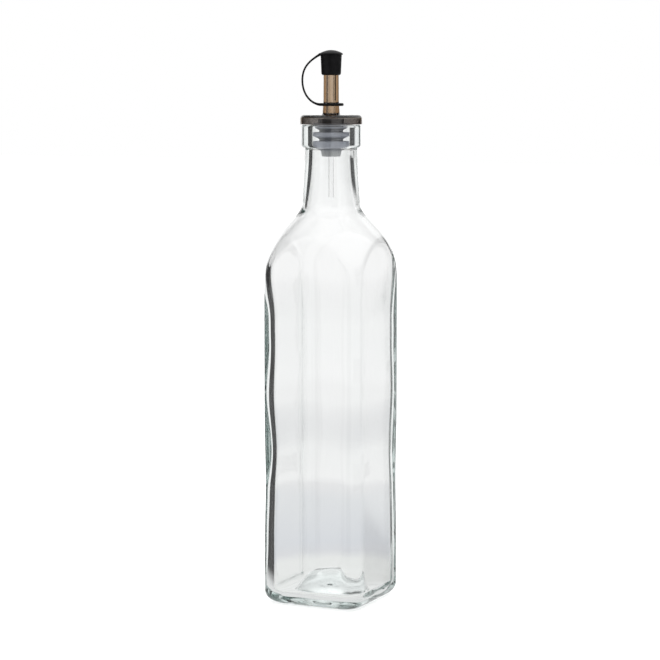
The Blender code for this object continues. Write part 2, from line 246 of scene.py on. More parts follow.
def arc(centre: Point, radius: float, start: float, end: float, steps: int) -> list[Point]:
    """Points (r, z) along an arc, both ends included.

    Args:
        centre: The arc's centre.
        radius: Its radius.
        start: Its first angle in degrees, from the r axis towards z.
        end: Its last angle.
        steps: How many segments it has.

    Returns:
        The points from start to end.
    """
    angles = [math.radians(start + (end - start) * k / steps) for k in range(steps + 1)]
    return [(centre[0] + radius * math.cos(a), centre[1] + radius * math.sin(a)) for a in angles]


def spaced(start: float, end: float, count: int) -> list[float]:
    """count values from start to end, both included."""
    return [start + (end - start) * k / (count - 1) for k in range(count)]


def round_stations(profile: Iterable[Point]) -> list[Station]:
    """Stations of a turned piece from its (r, z) outline."""
    return [Station(height=z, reach=r) for r, z in profile]


def between(first: Station, second: Station, share: float) -> Station:
    """The station at a share of the way from one to the next."""
    pairs = zip(astuple(first), astuple(second))
    return Station(*(a + (b - a) * share for a, b in pairs))


def held(stations: Sequence[Station], hold: float = 0.15 * MM) -> list[Station]:
    """Adds a ring just inside each end of every long run, so that smooth shading keeps it straight.

    Args:
        stations: The rings in order.
        hold: How far from the run's ends the new rings lie.

    Returns:
        The old and new rings in order.
    """
    rings = [stations[0]]
    for first, second in zip(stations, stations[1:]):
        alike = (first.half > 0) == (second.half > 0)
        width = second.half - first.half if first.half > 0 else second.reach - first.reach
        run = math.hypot(second.height - first.height, width)
        if alike and run > 8 * hold:
            rings += [between(first, second, hold / run), between(first, second, 1 - hold / run)]
        rings.append(second)
    return rings


class Tree:
    """A Geometry Nodes tree with named inputs."""

    def __init__(self, name: str, inputs: dict[str, str]) -> None:
        """Starts a tree that takes and gives geometry.

        Args:
            name: The tree's name.
            inputs: Its further inputs: the end of each one's socket type, by its name.
        """
        self.tree = bpy.data.node_groups.new(name, "GeometryNodeTree")
        self.graph = Graph(self.tree)
        self.identifiers: dict[str, str] = {}
        face = self.tree.interface
        for label, kind in {"Geometry": "Geometry", **inputs}.items():
            made = face.new_socket(label, in_out="INPUT", socket_type="NodeSocket" + kind)
            self.identifiers[label] = made.identifier
        face.new_socket("Geometry", in_out="OUTPUT", socket_type="NodeSocketGeometry")

    def entrance(self) -> dict[str, bpy.types.NodeSocket]:
        """The tree's inputs as sockets, by name."""
        made = self.graph.node("NodeGroupInput")
        return {socket.name: socket for socket in made.outputs if socket.name}

    def close(self, geometry: bpy.types.NodeSocket, finish: bpy.types.NodeSocket) -> None:
        """Ends the tree: instances realized, material set."""
        realized = self.graph.out("GeometryNodeRealizeInstances", {"Geometry": geometry})
        dressed = self.graph.out("GeometryNodeSetMaterial", {"Geometry": realized, "Material": finish})
        self.graph.node("NodeGroupOutput", None, {"Geometry": dressed})

    def grow(self, source: bpy.types.Object, name: str, values: dict[str, Feed]) -> bpy.types.Object:
        """Runs the tree on an object and keeps what it makes as a plain mesh.

        Args:
            source: The object that the tree reads; it is removed.
            name: The new object's name.
            values: The inputs' values, by name.

        Returns:
            A new object at the origin, its faces pointing outwards.
        """
        modifier = source.modifiers.new(name, "NODES")
        modifier.node_group = self.tree
        for key, value in values.items():
            modifier[self.identifiers[key]] = value
        graph = bpy.context.evaluated_depsgraph_get()
        mesh = bpy.data.meshes.new_from_object(source.evaluated_get(graph))
        bpy.data.objects.remove(source)
        mesh.name = name
        face_outwards(mesh)
        grown = bpy.data.objects.new(name, mesh)
        bpy.context.scene.collection.objects.link(grown)
        return grown


def face_outwards(mesh: bpy.types.Mesh) -> None:
    """Points a closed mesh's faces outwards and shades it smooth up to its sharp edges."""
    sheet = bmesh.new()
    sheet.from_mesh(mesh)
    bmesh.ops.recalc_face_normals(sheet, faces=sheet.faces)
    sheet.to_mesh(mesh)
    sheet.free()
    mesh.shade_smooth()
    mesh.set_sharp_from_angle(angle=SHARP_EDGE)


class LoftTree(Tree):
    """Carries a run of stations round the upright axis into one closed skin.

    The source is a chain of points, one for each station, at its height, with the station's other
    fields as attributes. A ring follows a square with rounded corners, eased into the round form
    where that is nearer the axis.
    """

    FIELDS = ("reach", "half", "corner", "extra", "ripple")
    WELD = 0.001 * MM

    def __init__(self) -> None:
        """Builds the tree once; every skin is grown from it."""
        shape = ("Crowding at corners", "Cut sharpness", "Ripple length", "Ripple seed")
        kinds = {"Points round": "Int", **dict.fromkeys(shape, "Float"), "Finish": "Material"}
        super().__init__("loft", kinds)
        inputs = self.entrance()
        graph = self.graph
        chain = {"Geometry": inputs["Geometry"]}
        stations = graph.term("GeometryNodeAttributeDomainSize", {"component": "MESH"}, chain, "Point Count")
        around = Term(graph, inputs["Points round"])
        index = graph.term("GeometryNodeInputIndex")
        column = graph.math("FLOOR", (index + 0.5) / stations)
        row = index - column * stations
        turn = column / around * math.tau
        crowding = Term(graph, inputs["Crowding at corners"])
        angle = turn + graph.math("SINE", turn * 4.0) * crowding * 0.25
        height = self._at_station(inputs["Geometry"], row, None)
        fields = (self._at_station(inputs["Geometry"], row, name) for name in self.FIELDS)
        reach, half, corner, extra, ripple = fields
        across, along = graph.math("COSINE", angle), graph.math("SINE", angle)
        in_quarter = graph.math("GREATER_THAN", across, 0.0) * graph.math("GREATER_THAN", along, 0.0)
        square = self._square_reach(angle, half, corner + extra * in_quarter)
        sharpness = Term(graph, inputs["Cut sharpness"])
        eased = square * (((square / reach) ** sharpness + 1.0) ** (-1.0 / sharpness))
        is_square = graph.math("GREATER_THAN", half, 0.0)
        distance = reach + (eased - reach) * is_square
        waves = {
            "Vector": graph.joined(distance * across, distance * along, height),
            "W": inputs["Ripple seed"],
            "Scale": 1.0 / Term(graph, inputs["Ripple length"]),
            "Detail": 1.0,
        }
        wander = graph.term("ShaderNodeTexNoise", {"noise_dimensions": "4D"}, waves)
        wandered = distance + (wander - 0.5) * ripple
        final = graph.joined(wandered * across, wandered * along, height)
        grid = graph.out("GeometryNodeMeshGrid", {"Vertices X": around + 1.0, "Vertices Y": stations})
        placed = graph.out("GeometryNodeSetPosition", {"Geometry": grid, "Position": final})
        welded = graph.out("GeometryNodeMergeByDistance", {"Geometry": placed, "Distance": self.WELD})
        self.close(welded, inputs["Finish"])

    def _at_station(self, source: bpy.types.NodeSocket, row: Term, name: str | None) -> Term:
        """A station's height, or its attribute of a name, at each point of its row."""
        graph = self.graph
        if name is None:
            value = graph.split(graph.out("GeometryNodeInputPosition"))[2]
        else:
            value = graph.term("GeometryNodeInputNamedAttribute", FLOATS, {"Name": name}, "Attribute")
        return graph.term(
            "GeometryNodeSampleIndex",
            {**FLOATS, "domain": "POINT"},
            {"Geometry": source, "Value": value, "Index": row},
            "Value",
        )

    def _square_reach(self, angle: Term, half: Term, corner: Term) -> Term:
        """How far a square with rounded corners reaches in a direction."""
        graph = self.graph
        quarter = math.pi / 2
        wrapped = graph.math("FLOORED_MODULO", angle + quarter / 2, quarter)
        off = graph.math("ABSOLUTE", wrapped - quarter / 2)
        centre = half - corner
        cosine, sine = graph.math("COSINE", off), graph.math("SINE", off)
        flat = half / cosine
        across = centre * (cosine - sine)
        rest = graph.math("MAXIMUM", corner * corner - across * across, 0.0)
        rounded = centre * (cosine + sine) + graph.math("SQRT", rest)
        on_corner = graph.math("GREATER_THAN", half * graph.math("TANGENT", off), centre)
        return flat + (rounded - flat) * on_corner

    def skin(
        self,
        name: str,
        stations: Sequence[Station],
        finish: bpy.types.Material,
        points_round: int = 96,
        crowding: float = 0.0,
        sharpness: float = 40.0,
        ripple_length: float = 0.03,
        seed: float = 0.0,
    ) -> bpy.types.Object:
        """Grows one closed skin.

        Args:
            name: The piece's name.
            stations: Its rings in order; a closed piece starts and ends on the axis, or repeats its
                first station at its end.
            finish: Its material.
            points_round: Points in each ring.
            crowding: From 0, even, towards 1, crowded at the square's corners.
            sharpness: How crisply the round form cuts the square.
            ripple_length: Length of the glass's ripples.
            seed: Picks the ripples.

        Returns:
            The piece as a plain mesh.
        """
        stations = held(stations)
        chain = bpy.data.meshes.new(name)
        links = [(k, k + 1) for k in range(len(stations) - 1)]
        chain.from_pydata([(0.0, 0.0, station.height) for station in stations], links, [])
        for key in self.FIELDS:
            column = chain.attributes.new(key, "FLOAT", "POINT")
            column.data.foreach_set("value", [getattr(station, key) for station in stations])
        source = bpy.data.objects.new(name, chain)
        bpy.context.scene.collection.objects.link(source)
        values = {
            "Points round": points_round,
            "Crowding at corners": crowding,
            "Cut sharpness": sharpness,
            "Ripple length": ripple_length,
            "Ripple seed": seed,
            "Finish": finish,
        }
        return self.grow(source, name, values)


class RepeatTree(Tree):
    """Repeats a closed piece up the axis and joins the copies to another piece as one body."""

    def __init__(self) -> None:
        """Builds the tree."""
        kinds = {"Joined to": "Object", "Copies": "Int", "Pitch": "Float", "Finish": "Material"}
        super().__init__("repeat_and_join", kinds)
        inputs = self.entrance()
        graph = self.graph
        step = graph.joined(0.0, 0.0, inputs["Pitch"])
        spots = {"Count": inputs["Copies"], "Offset": step}
        line = graph.out("GeometryNodeMeshLine", spots, {"mode": "OFFSET"})
        copies = graph.out("GeometryNodeInstanceOnPoints", {"Points": line, "Instance": inputs["Geometry"]})
        body = graph.node("GeometryNodeObjectInfo", None, {"Object": inputs["Joined to"]})
        joined = graph.node("GeometryNodeMeshBoolean", {"operation": "UNION", "solver": "EXACT"})
        graph.tree.links.new(copies, joined.inputs["Mesh 2"])
        graph.tree.links.new(graph.socket(body.outputs, "Geometry"), joined.inputs["Mesh 2"])
        self.close(joined.outputs[0], inputs["Finish"])


class StrapTree(Tree):
    """Draws a flat band with eased edges along a curve, wider where it leaves its ends."""

    def __init__(self) -> None:
        """Builds the tree."""
        sizes = ("Width", "Thickness", "Edge radius", "Flare")
        super().__init__("strap", {**dict.fromkeys(sizes, "Float"), "Points": "Int", "Finish": "Material"})
        inputs = self.entrance()
        graph = self.graph
        path = graph.out("GeometryNodeResampleCurve", {"Curve": inputs["Geometry"], "Count": inputs["Points"]})
        sides = {"Width": inputs["Width"], "Height": inputs["Thickness"]}
        section = graph.out("GeometryNodeCurvePrimitiveQuadrilateral", sides)
        edges = {"Curve": section, "Count": 3, "Radius": inputs["Edge radius"]}
        eased = graph.out("GeometryNodeFilletCurve", edges, {"mode": "POLY"})
        share = graph.term("GeometryNodeSplineParameter", None, None, "Factor")
        from_middle = graph.math("ABSOLUTE", share * 2.0 - 1.0)
        widening = from_middle**8.0 * Term(graph, inputs["Flare"]) + 1.0
        swept = {"Curve": path, "Profile Curve": eased, "Fill Caps": True}
        band = graph.node("GeometryNodeCurveToMesh", None, swept)
        for socket in band.inputs:
            if socket.name == "Scale":
                graph.feed(socket, widening)
        self.close(band.outputs[0], inputs["Finish"])


# Finishes


class Coordinates(Enum):
    """What a pattern is laid out on."""

    OBJECT = "Object"
    DIRECTION = "Generated"


def new_surface(name: str) -> tuple[bpy.types.Material, Graph]:
    """An empty node material and the graph to fill it with."""
    material = bpy.data.materials.new(name)
    material.use_nodes = True
    return material, Graph(material.node_tree)


def coordinates(graph: Graph, kind: Coordinates = Coordinates.OBJECT) -> bpy.types.NodeSocket:
    """The coordinates that a pattern is laid out on."""
    return graph.node("ShaderNodeTexCoord").outputs[kind.value]


def bump(graph: Graph, height: Number, depth: float) -> bpy.types.NodeSocket:
    """A normal from a height of 0 to 1 that stands for a real depth."""
    return graph.out("ShaderNodeBump", {"Height": height, "Distance": depth})


def let_lamps_through(graph: Graph, shader: bpy.types.NodeSocket) -> bpy.types.NodeSocket:
    """Mixes in a Transparent shader for shadow rays, so light reaches what is behind the glass."""
    shadow = graph.node("ShaderNodeLightPath").outputs["Is Shadow Ray"]
    clear = graph.out("ShaderNodeBsdfTransparent", {"Color": WHITE})
    return graph.out("ShaderNodeMixShader", {0: shadow, 1: shader, 2: clear})


@dataclass(frozen=True)
class ClearFinish:
    """Glass or polished see-through plastic, which darkens with the way that light goes in it.

    Attributes:
        name: The material's name.
        ior: How strongly it bends light.
        loss: How much red, green and blue it takes, per metre.
        roughness: How much it blurs.
        wave: Depth of the surface's slow waves.
        wave_length: Their length.
        rim: The painted shade where a face turns away from the eye: the share of colour kept there.
        painted_rim_shade_starts: How far a face has turned away where that painted shade begins, from 0 to 1.
        painted_rim_shade_full: How far it has turned where the painted shade is complete.
        painted_shade_colour: A painted shade, darker and bluer, that the surface takes below a height.
        painted_shade_below: That height.
        painted_shade_fade: How far below it the painted shade is complete.
    """

    name: str
    ior: float
    loss: Colour
    roughness: float = 0.0
    wave: float = 0.01 * MM
    wave_length: float = 12.0 * MM
    rim: float = 1.0
    painted_rim_shade_starts: float = 0.45
    painted_rim_shade_full: float = 0.8
    painted_shade_colour: Colour = WHITE
    painted_shade_below: float = 0.0
    painted_shade_fade: float = 0.8 * MM

    def _surface_colour(self, graph: Graph, place: bpy.types.NodeSocket) -> bpy.types.NodeSocket:
        """White, with a painted shade below a height and a painted shade where faces turn away."""
        # Painted shade: below a height the colour turns darker and bluer, on the flange and stem.
        below = graph.smooth(graph.split(place)[2], self.painted_shade_below, self.painted_shade_below - self.painted_shade_fade)
        painted_shade_colour = graph.blend(below, WHITE, self.painted_shade_colour)
        # Painted shade: the colour darkens where a face turns away from the eye, for dark edges.
        away = graph.term("ShaderNodeLayerWeight", None, {"Blend": 0.5}, "Facing")
        turned = graph.smooth(away, self.painted_rim_shade_starts, self.painted_rim_shade_full)
        return graph.scaled(painted_shade_colour, 1.0 + (self.rim - 1.0) * turned)

    def material(self) -> bpy.types.Material:
        """Builds the material."""
        material, graph = new_surface(self.name)
        place = coordinates(graph)
        normal = bump(graph, graph.noise(place, self.wave_length), self.wave)
        surface = graph.out(
            "ShaderNodeBsdfPrincipled",
            {
                "Base Color": self._surface_colour(graph, place),
                "Roughness": self.roughness,
                "IOR": self.ior,
                "Transmission Weight": 1.0,
                "Normal": normal,
            },
        )
        shown = let_lamps_through(graph, surface)
        density = max(self.loss)
        kept = tuple(1.0 - share / density for share in self.loss)
        inside = graph.out("ShaderNodeVolumeAbsorption", {"Color": kept, "Density": density})
        graph.node("ShaderNodeOutputMaterial", None, {"Surface": shown, "Volume": inside})
        return material


@dataclass(frozen=True)
class MilkyFinish:
    """Soft translucent plastic that glows where light reaches it from behind, with painted light at its low end
    and on its fins' outer parts.

    Attributes:
        name: The material's name.
        shade: Its colour in the thick parts.
        glow: The colour of the light that it passes on.
        painted_low_light: A painted light: the passed colour at its low end, lighter there as if the bottle's
            light reached it.
        low: The low end's height.
        high: The height where the painted low light has gone.
        rim: How much lighter the fins' outer parts are painted, as painted light.
        painted_rim_light_from: The radius where that painted light begins.
        passed: The share of its look that is passed light.
        roughness: How satin its skin is.
        painted_rim_light_run: How far out from there the painted light is at its lightest.
        cloud_size: How wide its soft clouds are.
        cloud_shade: How dark they are, as a share of its shade.
        grain_size: How wide its grain is.
        grain_depth: How deep it is.
    """

    name: str
    shade: Colour
    glow: Colour
    painted_low_light: Colour
    low: float
    high: float
    rim: float
    painted_rim_light_from: float
    passed: float
    roughness: float
    painted_rim_light_run: float = 2.0 * MM
    cloud_size: float = 4.0 * MM
    cloud_shade: float = 0.86
    grain_size: float = 0.35 * MM
    grain_depth: float = 0.02 * MM

    def material(self) -> bpy.types.Material:
        """Builds the material."""
        material, graph = new_surface(self.name)
        place = coordinates(graph)
        clouds = graph.smooth(graph.noise(place, self.cloud_size), 0.3, 0.7)
        grain = graph.noise(place, self.grain_size, 3.0)
        normal = bump(graph, grain, self.grain_depth)
        darker = tuple(self.cloud_shade * channel for channel in self.shade)
        x, y, z = graph.split(place)
        # Painted light: colour and passed light are lifted on the fins' outer parts, for light through the thin
        # fins.
        painted_rim_light = graph.smooth(graph.length(x, y), self.painted_rim_light_from, self.painted_rim_light_from + self.painted_rim_light_run)
        lift = 1.0 + (self.rim - 1.0) * painted_rim_light
        # Painted light: the passed colour is lighter at the low end, as if the bottle's light reached it.
        glow = graph.blend(graph.smooth(z, self.low, self.high), self.painted_low_light, self.glow)
        skin = graph.out(
            "ShaderNodeBsdfPrincipled",
            {
                "Base Color": graph.scaled(graph.blend(clouds, darker, self.shade), lift),
                "Roughness": self.roughness + (grain - 0.5) * 0.2,
                "IOR": 1.5,
                "Normal": normal,
            },
        )
        passed = graph.scaled(glow, lift)
        through = graph.out("ShaderNodeBsdfTranslucent", {"Color": passed, "Normal": normal})
        mixed = graph.out("ShaderNodeMixShader", {0: self.passed, 1: skin, 2: through})
        graph.node("ShaderNodeOutputMaterial", None, {"Surface": mixed})
        return material


@dataclass(frozen=True)
class RubberFinish:
    """Satin black rubber with a fine moulded grain and a paler bloom.

    Attributes:
        name: The material's name.
        shade: Its colour.
        bloom: The colour that its skin pales to.
        roughness: How satin it is.
        patch_size: How wide the paler patches are.
        grain_size: How wide its grain is.
        grain_depth: How deep it is.
    """

    name: str
    shade: Colour
    bloom: Colour
    roughness: float
    patch_size: float = 3.0 * MM
    grain_size: float = 0.12 * MM
    grain_depth: float = 0.012 * MM

    def material(self) -> bpy.types.Material:
        """Builds the material."""
        material, graph = new_surface(self.name)
        place = coordinates(graph)
        patches = graph.smooth(graph.noise(place, self.patch_size, 4.0), 0.4, 0.75)
        grain = graph.noise(place, self.grain_size, 4.0)
        surface = graph.out(
            "ShaderNodeBsdfPrincipled",
            {
                "Base Color": graph.blend(patches, self.shade, self.bloom),
                "Roughness": self.roughness + (grain - 0.5) * 0.25,
                "IOR": 1.52,
                "Specular IOR Level": 0.1,
                "Normal": bump(graph, grain, self.grain_depth),
            },
        )
        graph.node("ShaderNodeOutputMaterial", None, {"Surface": surface})
        return material


# The object


def dress(piece: bpy.types.Object, node: str) -> None:
    """Ties a finished piece to the frame: it rides on the body and stands for its node."""
    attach(piece, BODY)
    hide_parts(node)
    LOG.info("%s stands for %s: %d faces", piece.name, node, len(piece.data.polygons))


@dataclass(frozen=True)
class Bottle:
    """The square glass bottle, outside and inside in one skin.

    Attributes are its sizes, as built in the frame, and the small unevenness of moulded glass.
    """

    half: float = 28.5 * MM
    height: float = 255.2 * MM
    corner: float = 7.25 * MM
    heel: float = 7.0 * MM
    punt_radius: float = 17.5 * MM
    punt_rise: float = 7.0 * MM
    dome_centre: float = 163.2 * MM
    dome_widest: float = 39.2 * MM
    dome_arc: float = 54.7 * MM
    dome_sharpness: float = 44.0
    fillet_sharpness: float = 5.0
    neck_top: float = 242.0 * MM
    neck_top_radius: float = 13.7 * MM
    neck_flare: float = 0.057
    neck_widest: float = 17.0 * MM
    lip_radius: float = 15.75 * MM
    lip_underside: float = 243.1 * MM
    lip_corner: float = 2.1 * MM
    lip_edge: float = 1.0 * MM
    walls: tuple[Point, ...] = (
        (0.0, 2.3),
        (60.0, 2.3),
        (84.0, 3.4),
        (114.0, 2.4),
        (140.0, 3.0),
        (151.0, 3.0),
        (178.0, 1.4),
    )
    inner_corner: float = 8.25 * MM
    corner_extra: float = 2.0 * MM
    bore: float = 10.0 * MM
    bore_edge: float = 1.2 * MM
    bore_straight_to: float = 243.0 * MM
    bore_opens_by: float = 3.0 * MM
    bore_opens_over: float = 30.0 * MM
    bore_opens_limit: float = 1.25
    floor: float = 5.0 * MM
    floor_fillet: float = 4.5 * MM
    push_up: float = 11.0 * MM
    push_up_radius: float = 19.3 * MM
    hold: float = 0.15 * MM
    waist: float = 0.4 * MM
    waist_height: float = 66.0 * MM
    waist_length: float = 20.0 * MM
    ripple: float = 0.8 * MM
    shoulder: float = 160.0 * MM
    shoulder_top: float = 213.0 * MM

    def _dome(self, z: float, wall: float) -> float:
        """Radius of the shoulder's dome at a height, wall inside the outer face."""
        rise = z - self.dome_centre
        if rise <= 0:
            return self.dome_widest - wall - rise
        arc_radius = self.dome_arc - wall
        if rise >= arc_radius:
            return 1.0 * MM
        return max(self.dome_widest - self.dome_arc + math.sqrt(arc_radius**2 - rise**2), 1.0 * MM)

    def _soft_most(self, a: float, b: float) -> float:
        """The greater of two radii, eased where they are nearly equal."""
        power = self.fillet_sharpness
        return (a**power + b**power) ** (1 / power)

    def _outer_round(self, z: float) -> float:
        """Radius of the outside's dome and neck."""
        neck = self.neck_top_radius + self.neck_flare * (self.neck_top - z)
        return self._soft_most(self._dome(z, 0.0), min(neck, self.neck_widest))

    def _inner_round(self, z: float) -> float:
        """Radius of the inside's dome and bore."""
        opened = max(self.bore_straight_to - z, 0.0) / self.bore_opens_over
        bore = self.bore + self.bore_opens_by * min(opened, self.bore_opens_limit) ** 2
        return self._soft_most(self._dome(z, self._wall(z)), bore)

    def _wall(self, z: float) -> float:
        """Thickness of the glass at a height: moulded glass is thin where it was blown far."""
        if z >= self.walls[-1][0] * MM:
            return self.walls[-1][1] * MM
        for (low, first), (high, second) in zip(self.walls, self.walls[1:]):
            if z < high * MM:
                share = (z / MM - low) / (high - low)
                return (first + (second - first) * share * share * (3 - 2 * share)) * MM
        raise ValueError("The walls' heights aren't in order")

    def _pinch(self, z: float) -> float:
        """How far the waist draws the walls in at a height."""
        return self.waist * math.exp(-(((z - self.waist_height) / self.waist_length) ** 2))

    def _outer(self, z: float, inset: float = 0.0) -> Station:
        """A ring of the outside's body or shoulder."""
        return Station(z, self._outer_round(z), self.half - self._pinch(z) - inset, self.corner)

    def _inner(self, z: float, inset: float = 0.0) -> Station:
        """A ring of the inside's body or shoulder, with its ripple faded in from the floor."""
        fade = min(max((z - self.floor - self.floor_fillet) / self.floor_fillet, 0.0), 1.0)
        half = self.half - self._wall(z) - self._pinch(z) - inset
        return Station(z, self._inner_round(z), half, self.inner_corner, self.corner_extra, self.ripple * fade)

    def outside(self) -> list[Station]:
        """Rings from the middle of the hollow under the base up to the lip's top."""
        rings = []
        for share in spaced(0.0, 1.0, 22):
            rise = self.punt_rise * (1 - share**2) * (1 - 0.3 * share**6)
            rings.append(Station(rise, self.punt_radius * share))
        rings.append(Station(0.0, self.punt_radius + self.hold))
        rings.append(self._outer(0.0, self.heel + self.hold))
        for inset, z in arc((self.heel, self.heel), self.heel, -90, -180, 14):
            rings.append(self._outer(z, inset))
        rings += [self._outer(z) for z in spaced(12 * MM, self.shoulder, 46)]
        rings += [self._outer(z) for z in spaced(self.shoulder, self.shoulder_top, 66)[1:]]
        for z in spaced(self.shoulder_top, self.neck_top, 20)[1:]:
            rings.append(Station(z, self._outer_round(z)))
        lip_corner = (self.lip_radius - self.lip_corner, self.lip_underside + self.lip_corner)
        lip_edge = (self.lip_radius - self.lip_edge, self.height - self.lip_edge)
        rings += round_stations(arc(lip_corner, self.lip_corner, -80, 0, 10))
        rings += round_stations(arc(lip_edge, self.lip_edge, 0, 90, 8))
        return rings

    def inside(self) -> list[Station]:
        """Rings from the bore's edge down to the middle of the floor."""
        bore_edge = (self.bore + self.bore_edge, self.height - self.bore_edge)
        rings = round_stations(arc(bore_edge, self.bore_edge, 90, 180, 8))
        for z in spaced(self.bore_straight_to, self.shoulder_top, 24)[:-1]:
            rings.append(Station(z, self._inner_round(z)))
        rings += [self._inner(z) for z in spaced(self.shoulder_top, self.shoulder, 60)]
        lowest = self.floor + self.floor_fillet
        rings += [self._inner(z) for z in spaced(self.shoulder, lowest, 60)[1:-1]]
        for inset, z in arc((self.floor_fillet, lowest), self.floor_fillet, 180, 270, 12):
            rings.append(self._inner(z, inset))
        rings.append(self._inner(self.floor, self.floor_fillet + self.hold))
        for share in spaced(1.0, 0.0, 22):
            rise = self.push_up * (1 - share**4) ** 1.5
            rings.append(Station(self.floor + rise, self.push_up_radius * share))
        return rings

    def build(self, loft: LoftTree, finish: bpy.types.Material) -> bpy.types.Object:
        """Grows the glass."""
        rings = self.outside() + self.inside()
        return loft.skin(
            "glass_bottle",
            rings,
            finish,
            points_round=176,
            crowding=0.72,
            sharpness=self.dome_sharpness,
            ripple_length=34 * MM,
            seed=3.0,
        )


@dataclass(frozen=True)
class Stopper:
    """The soft finned plug: a hollow core with fins that Geometry Nodes repeat up it."""

    fins: int = 3
    pitch: float = 4.7 * MM
    fin_radius: float = 9.7 * MM
    fin_root: float = 3.4 * MM
    fin_sweep: float = 1.6 * MM
    fin_edge: float = 2.0 * MM
    fin_rounding: float = 0.35 * MM
    lowest_fin: float = 243.1 * MM
    core: float = 6.3 * MM
    cone: float = 5.9 * MM
    end_radius: float = 5.0 * MM
    end: float = 238.4 * MM
    head_radius: float = 6.9 * MM
    head: float = 255.5 * MM
    head_top: float = 258.5 * MM
    end_wall: float = 2.0 * MM
    channel: float = 4.1 * MM
    tube_hole: float = 1.8 * MM
    edge: float = 0.4 * MM

    def _core_outline(self) -> list[Point]:
        """The core with its end cone, head and channel, without fins."""
        inner_floor = self.end + self.end_wall
        outline = [(self.tube_hole, self.end)]
        outline += arc((self.end_radius - self.edge, self.end + self.edge), self.edge, -90, 0, 4)
        outline += [(self.cone, self.lowest_fin), (self.core, self.lowest_fin + self.edge)]
        outline += [(self.core, self.head), (self.head_radius, self.head)]
        outline += arc((self.head_radius - self.edge, self.head_top - self.edge), self.edge, 0, 90, 4)
        outline += [(self.channel, self.head_top), (self.channel, inner_floor)]
        outline += [(self.tube_hole, inner_floor), (self.tube_hole, self.end)]
        return outline

    def _fin_outline(self) -> list[Point]:
        """The lowest fin's ring, rooted inside the core's wall."""
        root = (self.core + self.channel) / 2
        low = self.lowest_fin + self.fin_sweep
        high = low + self.fin_edge
        rim = self.fin_radius - self.fin_rounding
        outline = [(root, self.lowest_fin + 0.01 * MM), (self.core, self.lowest_fin + 0.01 * MM)]
        outline += arc((rim, low + self.fin_rounding), self.fin_rounding, -60, 0, 4)
        outline += arc((rim, high - self.fin_rounding), self.fin_rounding, 0, 90, 4)
        outline += [(self.core, self.lowest_fin + self.fin_root), (root, self.lowest_fin + self.fin_root)]
        outline.append(outline[0])
        return outline

    def build(self, loft: LoftTree, repeat: RepeatTree, finish: bpy.types.Material) -> bpy.types.Object:
        """Grows the core, then repeats the fin up it and joins them."""
        core = loft.skin("stopper_core", round_stations(self._core_outline()), finish, 112)
        fin = loft.skin("stopper_fin", round_stations(self._fin_outline()), finish, 112)
        values = {"Joined to": core, "Copies": self.fins, "Pitch": self.pitch, "Finish": finish}
        stopper = repeat.grow(fin, "finned_stopper", values)
        bpy.data.objects.remove(core)
        return stopper


@dataclass(frozen=True)
class Spout:
    """The smoke-tinted moulding: stem, hollow flange and pouring spout."""

    flange_radius: float = 16.45 * MM
    flange_top: float = 260.5 * MM
    flange_edge: float = 2.2 * MM
    skirt_wall: float = 1.5 * MM
    skirt: float = 255.5 * MM
    disc_underside: float = 258.8 * MM
    stem_radius: float = 3.8 * MM
    stem_end: float = 250.0 * MM
    bore: float = 1.9 * MM
    foot_radius: float = 4.5 * MM
    foot_fillet: float = 0.9 * MM
    radius: float = 4.0 * MM
    foot: float = 262.0 * MM
    slim: float = 268.0 * MM
    tip: float = 290.6 * MM
    edge: float = 0.3 * MM

    def _outline(self) -> list[Point]:
        """The moulding's outline, closed."""
        inner = self.flange_radius - self.skirt_wall
        corner = (inner - self.edge, self.disc_underside - self.edge)
        outline = [(self.bore, self.stem_end), (self.stem_radius, self.stem_end)]
        outline += [(self.stem_radius, self.disc_underside)]
        outline += arc(corner, self.edge, 90, 0, 4)
        outline += [(inner, self.skirt), (self.flange_radius - self.edge, self.skirt)]
        outline += arc((self.flange_radius - self.edge, self.skirt + self.edge), self.edge, -60, 0, 3)
        rim = (self.flange_radius - self.flange_edge, self.flange_top - self.flange_edge)
        outline += arc(rim, self.flange_edge, 0, 90, 10)
        fillet = (self.foot_radius + self.foot_fillet, self.flange_top + self.foot_fillet)
        outline += arc(fillet, self.foot_fillet, 270, 180, 8)
        outline += [(self.foot_radius, self.foot), (self.radius + 0.1 * MM, self.slim)]
        outline += arc((self.radius - self.edge, self.tip - self.edge), self.edge, 0, 90, 4)
        outline += [(self.bore, self.tip), (self.bore, self.stem_end)]
        return outline

    def build(self, loft: LoftTree, finish: bpy.types.Material) -> bpy.types.Object:
        """Grows the moulding."""
        return loft.skin("smoked_spout", round_stations(self._outline()), finish, 128)


@dataclass(frozen=True)
class AirTube:
    """The thin clear tube down the middle."""

    radius: float = 1.5 * MM
    wall: float = 0.4 * MM
    top: float = 289.8 * MM
    end: float = 217.6 * MM
    edge: float = 0.08 * MM

    def build(self, loft: LoftTree, finish: bpy.types.Material) -> bpy.types.Object:
        """Grows the tube, its ends slightly rounded."""
        inner = self.radius - self.wall
        outline = [(inner, self.end + self.edge), (inner + self.edge, self.end)]
        outline += arc((self.radius - self.edge, self.end + self.edge), self.edge, -90, 0, 3)
        outline += arc((self.radius - self.edge, self.top - self.edge), self.edge, 0, 90, 3)
        outline += [(inner + self.edge, self.top), (inner, self.top - self.edge)]
        outline.append(outline[0])
        return loft.skin("clear_tube", round_stations(outline), finish, 48)


